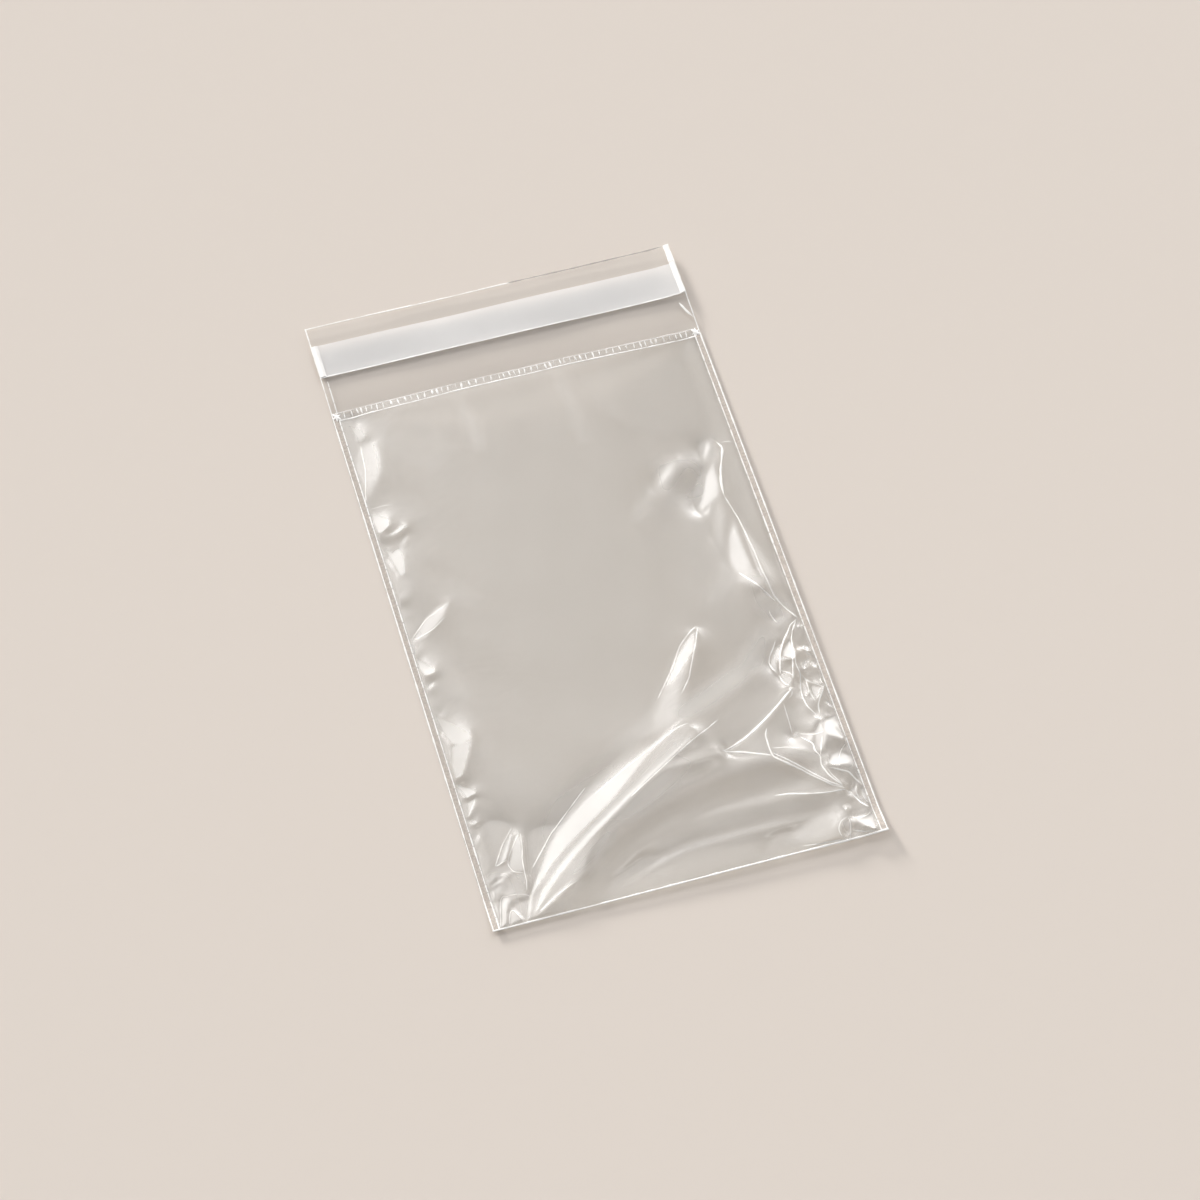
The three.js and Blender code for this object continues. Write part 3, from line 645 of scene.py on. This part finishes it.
def bead(run, width, place, step=0.7, lift=0.03, taper=True, uneven=0.35):
    """A slim rounded line along a run, lying on the surface that place gives."""
    run = np.array(run, float)
    length = np.concatenate([[0], np.cumsum(np.hypot(*np.diff(run, axis=0).T))])
    at = np.linspace(0, length[-1], max(BEAD_STATIONS, int(length[-1] / step)))
    line = np.stack([np.interp(at, length, run[:, k]) for k in (0, 1)], -1)
    if len(run) > 2:
        for _ in range(BEAD_ROUNDS):
            line[1:-1] = 0.25 * line[:-2] + 0.5 * line[1:-1] + 0.25 * line[2:]
    ahead = np.gradient(line, axis=0)
    across = np.stack([-ahead[:, 1], ahead[:, 0]], -1) / np.hypot(*ahead.T)[:, None]
    waver = uneven * waves(at, 0 * at + line[0].sum(), seed=41, length=BEAD_WAVE_LENGTH)
    half = 0.5 * width * (1 + waver)
    if taper:
        half = half * np.sqrt(np.clip(np.minimum(at, length[-1] - at) / BEAD_TAPER, BEAD_TIP, 1))
    flat = line[:, None] - across[:, None] * half[:, None, None] * BEAD_ACROSS[:, None]
    points = place(flat[..., 0], flat[..., 1]) + np.array([0, 0, lift])
    arch = BEAD_ARCH * half[:, None] * np.sqrt(BEAD_ROUND - BEAD_ACROSS ** 2)
    return slab(points, np.clip(arch, BEAD_LEAST, BEAD_MOST))


def mesh_object(name, shells, material):
    """One object from shells given in millimetres."""
    vertices, faces, start = [], [], 0
    for points, corners in shells:
        vertices.append(points * MM)
        faces.append(corners + start)
        start += len(points)
    mesh = bpy.data.meshes.new(name)
    mesh.from_pydata(np.concatenate(vertices).tolist(), [], np.concatenate(faces).tolist())
    mesh.shade_smooth()
    mesh.set_sharp_from_angle(angle=SHARP_ANGLE)
    mesh.materials.append(material)
    piece = bpy.data.objects.new(name, mesh)
    bpy.context.scene.collection.objects.link(piece)
    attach(piece, "root")
    return piece


def empty_tree(owner):
    """The node tree of a material or world, with nothing in it yet."""
    owner.use_nodes = True
    owner.node_tree.nodes.clear()
    return owner.node_tree


def add_node(tree, kind, inputs, **settings):
    """A node with these settings, its inputs given as values or as other nodes' outputs."""
    node = tree.nodes.new("ShaderNode" + kind)
    for name, value in settings.items():
        setattr(node, name, value)
    for key, source in inputs.items():
        if isinstance(source, bpy.types.NodeSocket):
            tree.links.new(source, node.inputs[key])
        else:
            node.inputs[key].default_value = source
    return node


# Film's fine unevenness, the power by which it mirrors more at a glancing angle, and the white mixed in where
# highlights and sheen are painted on it
UNEVEN = {"Scale": 260, "Detail": 2.5, "Distortion": 0.6}
UNEVEN_HEIGHT = 0.08 * MM
GLANCE_POWER = 5
PAINTED_SHEEN_WHITE = (0.95, 0.93, 0.9, 1)
CLOUD_DETAIL = 4


def film_material(name, gloss, roughness, tint, painted_sheen_strength):
    """Clear film: see-through face on, a mirror at a glancing angle, uneven, with painted highlights and
    sheen in white.
    """
    material = bpy.data.materials.new(name)
    tree = empty_tree(material)
    place = add_node(tree, "TexCoord", {})
    uneven = add_node(tree, "TexNoise", {"Vector": place.outputs["Object"], **UNEVEN})
    bumps = {"Strength": 1, "Distance": UNEVEN_HEIGHT, "Height": uneven.outputs["Fac"]}
    relief = add_node(tree, "Bump", bumps)
    facing = add_node(tree, "LayerWeight", {"Blend": 0.5})
    glance = add_node(tree, "Math", {0: facing.outputs["Facing"], 1: GLANCE_POWER}, operation="POWER")
    share = add_node(tree, "Math", {0: glance.outputs[0], 1: 1 - gloss, 2: gloss}, operation="MULTIPLY_ADD")
    clear = add_node(tree, "BsdfTransparent", {"Color": (*tint, 1)})
    mirror = add_node(tree, "BsdfGlossy", {"Roughness": roughness, "Normal": relief.outputs["Normal"]})
    film_mix = add_node(tree, "MixShader", {0: share.outputs[0], 1: clear.outputs[0], 2: mirror.outputs[0]})
    painted_sheen_here = add_node(tree, "Attribute", {}, attribute_name="painted_sheen")
    painted_share = add_node(tree, "Math", {0: painted_sheen_here.outputs["Fac"], 1: painted_sheen_strength}, operation="MULTIPLY")
    painted_white = add_node(tree, "BsdfDiffuse", {"Color": PAINTED_SHEEN_WHITE})
    film_and_painted_sheen = add_node(tree, "MixShader", {0: painted_share.outputs[0], 1: film_mix.outputs[0], 2: painted_white.outputs[0]})
    add_node(tree, "OutputMaterial", {"Surface": film_and_painted_sheen.outputs[0]})
    return material


def milky_material(name, colour, roughness, alpha, spread=0.03, scale=60, through=0):
    """Milky or hazy plastic, clouded or speckled at this scale, with a share of the light let through."""
    material = bpy.data.materials.new(name)
    tree = empty_tree(material)
    dark = [c * (1 - spread) for c in colour]
    light = [min(1, c * (1 + spread)) for c in colour]
    place = add_node(tree, "TexCoord", {})
    noise = {"Vector": place.outputs["Object"], "Scale": scale, "Detail": CLOUD_DETAIL}
    cloud = add_node(tree, "TexNoise", noise)
    # A mix node of colours has them in inputs 6 and 7 and output 2
    tone = add_node(tree, "Mix", {0: cloud.outputs["Fac"], 6: (*dark, 1), 7: (*light, 1)}, data_type="RGBA")
    plastic = {"Roughness": roughness, "Alpha": alpha, "Base Color": tone.outputs[2]}
    surface = add_node(tree, "BsdfPrincipled", plastic)
    lit_through = add_node(tree, "BsdfTranslucent", {"Color": tone.outputs[2]})
    mix = add_node(tree, "MixShader", {0: through, 1: surface.outputs[0], 2: lit_through.outputs[0]})
    add_node(tree, "OutputMaterial", {"Surface": mix.outputs[0]})
    return material


# White for the weld lines and knots, and for lines that are painted highlights along the creases, the bottom
# fold (partly crease whitening), the lip's edges and the hem
WHITE_FILM = (0.97, 0.95, 0.92)
clear_film = film_material("clear_film", gloss=0.12, roughness=0.05, tint=(0.998, 1.0, 0.99), painted_sheen_strength=0.36)
back_film = film_material("back_film", gloss=0.05, roughness=0.08, tint=(0.975, 0.975, 0.97), painted_sheen_strength=0)
hem_film = film_material("hem_film", gloss=0.04, roughness=0.1, tint=(0.94, 0.935, 0.93), painted_sheen_strength=0)
whitened_and_glint = milky_material("whitened_and_glint_film", WHITE_FILM, roughness=0.3, alpha=1.0)
crease_glint = milky_material("crease_glint_film", WHITE_FILM, roughness=0.3, alpha=0.68)
gathered = milky_material("gathered_film", WHITE_FILM, roughness=0.3, alpha=0.4)
weld_grain = milky_material("weld_grain", (0.67, 0.595, 0.53), roughness=0.8, alpha=0.65,
                            spread=0.49, scale=1100)
edge_shade = milky_material("edge_shade", (0.42, 0.39, 0.36), roughness=0.4, alpha=0.5)
milky_liner = milky_material("milky_liner", (0.97, 0.965, 0.96), roughness=0.36, alpha=0.86, through=0.4)
tacky = milky_material("clear_adhesive", (0.8, 0.79, 0.76), roughness=0.5, alpha=0.1)

# The film's mesh is fine beside the welds and in the lower part, and coarse on the plain back
FINE_LEFT, FINE_RIGHT = -56.0, 51.0
FINE_LOW, FINE_MIDDLE, FINE_HIGH = -75.0, -41.0, 55.0
BACK_LOW, BACK_HIGH = -136.0, 104.0

# Film: one web that runs down the back from the lip, round the bottom fold and up the front to the mouth
film_x = spans((-HALF_WIDTH, -HALF_POCKET, 1.5), (-HALF_POCKET, FINE_LEFT, FIELD_STEP),
               (FINE_LEFT, FINE_RIGHT, 1.2), (FINE_RIGHT, HALF_POCKET, FIELD_STEP),
               (HALF_POCKET, HALF_WIDTH, 0.5))
front_y = spans((BOTTOM_Y, POCKET_Y, FOLD_WIDTH), (POCKET_Y, FINE_LOW, FIELD_STEP),
                (FINE_LOW, FINE_MIDDLE, 0.6), (FINE_MIDDLE, FINE_HIGH, 1.0), (FINE_HIGH, MOUTH_Y, 1.6))
back_y = spans((BOTTOM_Y, BACK_LOW, 2), (BACK_LOW, BACK_HIGH, 12), (BACK_HIGH, LIP_Y, 2))
front_grid = np.meshgrid(film_x, front_y)
front = front_point(*front_grid)
back = lip_point(*np.meshgrid(film_x, back_y))
film = mesh_object("film", [sheet(np.concatenate([back[::-1], front]))], clear_film)
film.data.materials.append(back_film)
on_back = np.arange(len(film.data.polygons)) < (len(back_y) - 1) * (len(film_x) - 1)
film.data.polygons.foreach_set("material_index", on_back.astype(np.int32))
# Painted highlights and sheen at the front film's points, none on the back
film_painted_sheen = np.concatenate([0 * back[..., 0], sampled(painted_sheen, *front_grid)])
painted_sheen_values = film.data.attributes.new("painted_sheen", "FLOAT", "POINT").data
painted_sheen_values.foreach_set("value", film_painted_sheen.ravel().astype(np.float32))
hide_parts("bag_film")

# Crease lines, painted highlights drawn at a share of the width that their list gives
CREASE_SHARE = 0.5
crease_lines = [bead(on_film(run, front_height), CREASE_SHARE * width, front_point) for width, run in CREASE_GLINTS]
creases = mesh_object("crease_lines", crease_lines, crease_glint)
creases.visible_shadow = False

# Side welds: the grained band, measured in from the cut edge, and the fine knurl on it
BAND_START, BAND_END, BAND_STATIONS = 0.6, SEAL - 0.5, 16
BAND_LOW, BAND_STEP = BOTTOM_Y + 0.4, 0.3
KNURL, KNURL_LEAST, KNURL_MOST = 0.008, 0.2, 1.4
KNURL_ACROSS, KNURL_ALONG = 0.75, 0.9
KNURL_WAVE, KNURL_WAVE_LENGTH = 0.5, 1.3

# Their lines: one at the cut edge, and a broken one inside, which runs on up the lip at the left
WELD_LINE, WELD_LINE_LIFT = 0.45, 0.06
WELD_LINE_LOW = BOTTOM_Y + 0.2
WELD_OUTER_X, WELD_INNER_X = HALF_WIDTH - 0.4, HALF_POCKET + 0.2
LEFT_WELD_TOP = 121.0
DASH_LENGTHS, DASH_GAPS, DASH_LEAST = (2, 9), (0.15, 0.6), 1

# Their knots at the mouth: short strokes through one point, by how far they reach to each side of it
KNOT_X, KNOT_Y = HALF_POCKET + 0.9, MOUTH_Y - 0.5 * HEM_WIDTH
KNOT_STROKES = ((1.9, 0.9), (-1.4, 1.8), (0.2, 2.3))
KNOT_WIDTH, KNOT_LIFT = 1.5, 0.08


def dashes(x, low, high, seed):
    """Runs of a broken line along the bag."""
    rng = np.random.RandomState(seed)
    runs = []
    while low < high - DASH_LEAST:
        end = min(high, low + rng.uniform(*DASH_LENGTHS))
        runs.append([(x, low), (x, end)])
        low = end + rng.uniform(*DASH_GAPS)
    return runs


def weld(name, side):
    """Side weld: a line at the cut edge, a broken line inside, a grained band between and a knot."""
    across = np.linspace(BAND_START, BAND_END, BAND_STATIONS)
    u, v = np.meshgrid(across, np.arange(BAND_LOW, MOUTH_Y, BAND_STEP))
    knurl = np.sin(2 * np.pi * u / KNURL_ACROSS) * np.sin(2 * np.pi * v / KNURL_ALONG)
    knurl = knurl + KNURL_WAVE * waves(u, v, seed=5, length=KNURL_WAVE_LENGTH)
    points = front_point(side * (HALF_WIDTH - u), v)
    points[..., 2] += KNURL * np.clip(knurl, KNURL_LEAST, KNURL_MOST)
    band = mesh_object(name + "_band", [sheet(points[:, ::-side])], weld_grain)
    outer, inner = side * WELD_OUTER_X, side * WELD_INNER_X
    top = LEFT_WELD_TOP if side < 0 else MOUTH_Y
    lines = [bead([(outer, WELD_LINE_LOW), (outer, LIP_Y)], WELD_LINE, lip_point,
                  step=1.1, lift=WELD_LINE_LIFT, taper=False)]
    for run in dashes(inner, WELD_LINE_LOW, top, seed=23):
        lines.append(bead(run, WELD_LINE, lip_point, step=0.8, lift=WELD_LINE_LIFT, taper=False))
    x, y = side * KNOT_X, KNOT_Y
    for reach_x, reach_y in KNOT_STROKES:
        run = [(x - reach_x, y - reach_y), (x, y), (x + reach_x, y + reach_y)]
        lines.append(bead(run, KNOT_WIDTH, front_point, step=0.4, lift=KNOT_LIFT))
    edge = mesh_object(name + "_lines", lines, whitened_and_glint)


weld("weld_left", -1)
weld("weld_right", 1)

# Bottom fold and the lip's edges: white lines that are painted highlights on the fold (partly crease
# whitening too), on the left part of the lip's top edge, along the lip's curled right edge and on a crease by
# the mouth
FOLD_LINE_Y, LIP_LINE_Y, LIP_SHADE_Y = BOTTOM_Y + 0.4, LIP_Y - 0.3, LIP_Y - 0.2
LIP_LINE_END, LIP_SHADE_START, LIP_SHADE_END = 10.0, 8.0, 77.0
LOW_WHITE_X, LOW_WHITE_LOW, LOW_WHITE_HIGH = 78.6, LINER_LOW + 0.3, LINER_HIGH + 0.6
HIGH_WHITE_X, HIGH_WHITE_LOW = 78.5, LINER_HIGH + 1
EDGE_LIFT = 0.06
fold_line = [(-HALF_WIDTH, FOLD_LINE_Y), (HALF_WIDTH, FOLD_LINE_Y)]
lip_line = [(-HALF_WIDTH, LIP_LINE_Y), (LIP_LINE_END, LIP_LINE_Y)]
low_white = [(LOW_WHITE_X, LOW_WHITE_LOW), (LOW_WHITE_X, LOW_WHITE_HIGH)]
high_white = [(HIGH_WHITE_X, HIGH_WHITE_LOW), (HIGH_WHITE_X, LIP_Y)]
lip_crease = [(75.5, MOUTH_Y + 14), (77.5, MOUTH_Y + 8.5), (79.3, MOUTH_Y + 5.3)]
lip_shade = [(LIP_SHADE_START, LIP_SHADE_Y), (LIP_SHADE_END, LIP_SHADE_Y)]
edge_lines = [
    bead(fold_line, width=0.7, place=lip_point, step=1.5, lift=EDGE_LIFT, taper=False),
    bead(lip_line, width=0.6, place=lip_point, step=1.5),
    bead(low_white, width=2.4, place=lip_point, step=0.8, lift=0.2, taper=False, uneven=0.06),
    bead(high_white, width=2.1, place=lip_point, step=0.8, lift=EDGE_LIFT, taper=False, uneven=0.08),
    bead(lip_crease, width=0.9, place=lip_point),
]
edges = mesh_object("edge_lines", edge_lines, whitened_and_glint)
# A dark line along the right part of the lip's top edge: a painted shadow
shade_line = bead(lip_shade, width=0.5, place=lip_point, step=1.5)
shade = mesh_object("lip_edge_painted_shadow", [shade_line], edge_shade)

# Mouth hem: the film turned double between two lines; its two lines and the small gathers across it are white
# painted highlights, brighter to the left
HEM_STEP, HEM_ROWS, HEM_LIFT = 0.8, 6, 0.03
HEM_LOW, HEM_HIGH = MOUTH_Y - HEM_WIDTH, MOUTH_Y - 0.3
HEM_LOW_LINE, HEM_HIGH_LINE, HEM_LINE_LIFT = 0.6, 0.5, 0.05
GATHER_START, GATHER_END = -HALF_POCKET + 2.5, HALF_POCKET - 1
GATHER_LEANS, GATHER_WIDTHS, GATHER_PITCHES = (-0.4, 0.4), (0.6, 1.0), (1.7, 3.4)
GATHER_SHARES, GATHER_LENGTH = (0.7, 1), HEM_WIDTH - 0.6
BRIGHT_UP_TO = (-60, 110)
hem_x = spans((-HALF_POCKET, HALF_POCKET, HEM_STEP))
hem_y = np.linspace(HEM_LOW, MOUTH_Y, HEM_ROWS)
hem_points = front_point(*np.meshgrid(hem_x, hem_y)) + np.array([0, 0, HEM_LIFT])
hem = mesh_object("mouth_hem", [sheet(hem_points)], hem_film)


def hem_line(y, width):
    """A line along the hem."""
    run = [(-HALF_POCKET, y), (HALF_POCKET, y)]
    return bead(run, width, front_point, step=1.0, lift=HEM_LINE_LIFT, taper=False)


bright_gathers = [hem_line(HEM_LOW, HEM_LOW_LINE)]
faint_gathers = [hem_line(HEM_HIGH, HEM_HIGH_LINE)]
rng = np.random.RandomState(17)
x = GATHER_START
while x < GATHER_END:
    lean = rng.uniform(*GATHER_LEANS)
    tall = rng.uniform(*GATHER_SHARES) * GATHER_LENGTH
    run = [(x, HEM_HIGH), (x + lean, HEM_HIGH - tall)]
    # Gathers left of a random edge get the brighter painted highlight, the others a fainter one
    gathers = bright_gathers if rng.uniform(*BRIGHT_UP_TO) > x else faint_gathers
    gathers.append(bead(run, rng.uniform(*GATHER_WIDTHS), front_point, lift=HEM_LINE_LIFT))
    x += rng.uniform(*GATHER_PITCHES)
hem_pieces = (("hem_lines", bright_gathers, whitened_and_glint), ("hem_gathers", faint_gathers, gathered))
for name, lines, material in hem_pieces:
    gathers = mesh_object(name, lines, material)
    gathers.visible_shadow = False

# Liner over the adhesive, its lower edge a little lifted
LINER_LIFT, LINER_LIFT_WIDTH, LINER_LIFT_POWER = 0.13, 4.0, 1.5
LINER_LIFT_SHARE, LINER_LIFT_WAVE, LINER_WAVE_LENGTH = 0.7, 0.3, 70.0
LINER_ROWS, GLUE_ROWS = 22, 12
LINER_LINE_Y, LINER_LINE_START, LINER_LINE_END = LINER_LOW + 0.3, -79.0, 78.0
LINER_END_X, LINER_END_LOW = -78.1, LINER_LOW + 0.6
LINER_LINE_LIFT = LINER + 0.02
GLUE_GAP, GLUE = 0.002, 0.026
FINE_END_X = 66.0


def band_stations(box):
    """Stations along the liner or the adhesive, fine towards the lip's curled edge."""
    return spans((box[0][0] / MM, FINE_END_X, 1.5), (FINE_END_X, box[1][0] / MM, 0.4))


def liner_point(x, y):
    """Place on the liner."""
    lifted = LINER_LIFT * np.clip(1 - (y - LINER_LOW) / LINER_LIFT_WIDTH, 0, 1) ** LINER_LIFT_POWER
    wave = LINER_LIFT_WAVE * waves(x, 0 * y, seed=31, length=LINER_WAVE_LENGTH)
    lifted = lifted * (LINER_LIFT_SHARE + wave)
    return lip_point(x, y) + np.stack([0 * x, 0 * x, LINER_Z + np.clip(lifted, 0, None)], -1)


liner_x = band_stations(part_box("release_liner"))
liner_y = np.linspace(LINER_LOW, LINER_HIGH, LINER_ROWS)
liner = mesh_object("peel_liner", [sheet(liner_point(*np.meshgrid(liner_x, liner_y)))], milky_liner)
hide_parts("release_liner")
low_edge = [(LINER_LINE_START, LINER_LINE_Y), (LINER_LINE_END, LINER_LINE_Y)]
low_line = bead(low_edge, width=0.5, place=liner_point, step=1.5, lift=LINER_LINE_LIFT, taper=False)
liner_edge = mesh_object("liner_edge", [low_line], whitened_and_glint)
left_end = [(LINER_END_X, LINER_END_LOW), (LINER_END_X, LINER_HIGH)]
end_line = bead(left_end, width=2.6, place=liner_point, step=0.8, lift=LINER_LINE_LIFT, taper=False,
                uneven=0.06)
liner_end = mesh_object("liner_end", [end_line], whitened_and_glint)

glue_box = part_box("adhesive_strip")
glue_x = band_stations(glue_box)
glue_y = np.linspace(glue_box[0][1] / MM, glue_box[1][1] / MM, GLUE_ROWS)
glue_points = lip_point(*np.meshgrid(glue_x, glue_y)) + np.array([0, 0, FILM + GLUE_GAP])
glue = mesh_object("adhesive_band", [slab(glue_points, GLUE)], tacky)
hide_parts("adhesive_strip")

# Floor, in metres
FLOOR_REACH, FLOOR_Z = 5, -0.0002
FLOOR_COLOUR, FLOOR_ROUGHNESS = (0.69, 0.622, 0.56, 1), 0.8
floor_corners = [(FLOOR_REACH * x, FLOOR_REACH * y, FLOOR_Z) for x, y in ((-1, -1), (1, -1), (1, 1), (-1, 1))]
floor_mesh = bpy.data.meshes.new("floor")
floor_mesh.from_pydata(floor_corners, [], [(0, 1, 2, 3)])
floor = bpy.data.objects.new("floor", floor_mesh)
bpy.context.scene.collection.objects.link(floor)
pale_floor = bpy.data.materials.new("pale_floor")
floor_tree = empty_tree(pale_floor)
stone = add_node(floor_tree, "BsdfPrincipled", {"Base Color": FLOOR_COLOUR, "Roughness": FLOOR_ROUGHNESS})
add_node(floor_tree, "OutputMaterial", {"Surface": stone.outputs[0]})
floor.data.materials.append(pale_floor)

# Lamp: low, from behind, for the shadows
LAMP_ANGLE = math.radians(9)
LAMP_ENERGY = 4.6
LAMP_COLOUR = (1.0, 0.985, 0.96)
LAMP_TOWARDS = Vector((-0.34, 0.92, 0.2))
lamp = bpy.data.lights.new("lamp", "SUN")
lamp.angle = LAMP_ANGLE
lamp.energy = LAMP_ENERGY
lamp.color = LAMP_COLOUR
lamp_object = bpy.data.objects.new("lamp", lamp)
bpy.context.scene.collection.objects.link(lamp_object)
lamp_object.rotation_euler = LAMP_TOWARDS.to_track_quat("Z", "Y").to_euler()
lamp_object.visible_glossy = False

# Sky: an even least light, light from above and around the horizon (power, strength), and its colour
LEAST_LIGHT = 0.04
OVERHEAD = (1.5, 0.12)
HORIZON = (2, 0.4)
SKY_COLOUR = (0.99, 0.99, 1.0, 1)

# Soft lights in the sky, by the slope of film that shows them: slope, power, strength
SOFT_LIGHTS = [
    ((-0.02, 0.03), 10, 0.58),
    ((0.0, -0.02), 40, 0.34),
    (LEAN, 20, 1.9),
    (LEAN, 60, 2.4),
    ((0.17, -0.26), 40, 3.0),
    (SIDE_LEAN, 20, 0.6),
    (SIDE_LEAN, 40, 6.5),
    ((-0.36, -0.06), 45, 1.7),
    ((0.66, 0.02), 45, 1.7),
    ((0.12, -0.62), 45, 1.4),
    ((-0.12, 0.38), 45, 1.3),
    ((0.5, 0.4), 45, 1.3),
    ((-0.62, 0.2), 45, 1.3),
]

world = bpy.data.worlds.new("sky")
sky_tree = empty_tree(world)
direction = add_node(sky_tree, "TexCoord", {}).outputs["Generated"]


def mirrored(slope_x, slope_y):
    """Direction that film of this slope mirrors to the camera."""
    normal = np.array([-slope_x, -slope_y, 1])
    normal = normal / np.linalg.norm(normal)
    return 2 * (normal @ VIEW) * normal - VIEW


def glow(towards, power, strength, offset=0.0):
    """Light that fades with the angle from one direction."""
    dot = add_node(sky_tree, "VectorMath", {0: direction, 1: tuple(towards)}, operation="DOT_PRODUCT")
    above = add_node(sky_tree, "Math", {0: dot.outputs["Value"], 1: offset}, operation="ADD", use_clamp=True)
    fade = add_node(sky_tree, "Math", {0: above.outputs[0], 1: power}, operation="POWER")
    return add_node(sky_tree, "Math", {0: fade.outputs[0], 1: strength}, operation="MULTIPLY").outputs[0]


lights = [glow((0, 0, 1), *OVERHEAD), glow((0, 0, -1), *HORIZON, offset=1.0)]
lights += [glow(mirrored(*slope), power, strength) for slope, power, strength in SOFT_LIGHTS]
total = LEAST_LIGHT
for light in lights:
    total = add_node(sky_tree, "Math", {0: light, 1: total}, operation="ADD").outputs[0]
sky = add_node(sky_tree, "Background", {"Color": SKY_COLOUR, "Strength": total})
add_node(sky_tree, "OutputWorld", {"Surface": sky.outputs[0]})
scene = bpy.context.scene
scene.world = world
scene.view_settings.view_transform = "Standard"

# Camera: a long lens looking down on the bag, 57 degrees above the floor, its place in metres
PICTURE_PIXELS = 1200
FOCAL_PIXELS = 4231.5
SENSOR_WIDTH = 36
CAMERA_RIGHT = (0.9605, -0.2781, -0.0014)
CAMERA_UP = (0.2339, 0.8051, 0.5451)
CAMERA_PLACE = (-0.2552, -0.9101, 1.4330)
camera = bpy.data.cameras.new("camera")
camera.sensor_width = SENSOR_WIDTH
camera.lens = SENSOR_WIDTH * FOCAL_PIXELS / PICTURE_PIXELS
camera_object = bpy.data.objects.new("camera", camera)
scene.collection.objects.link(camera_object)
turn = Matrix((CAMERA_RIGHT, CAMERA_UP, tuple(VIEW))).transposed()
camera_object.matrix_world = Matrix.Translation(CAMERA_PLACE) @ turn.to_4x4()
scene.camera = camera_object
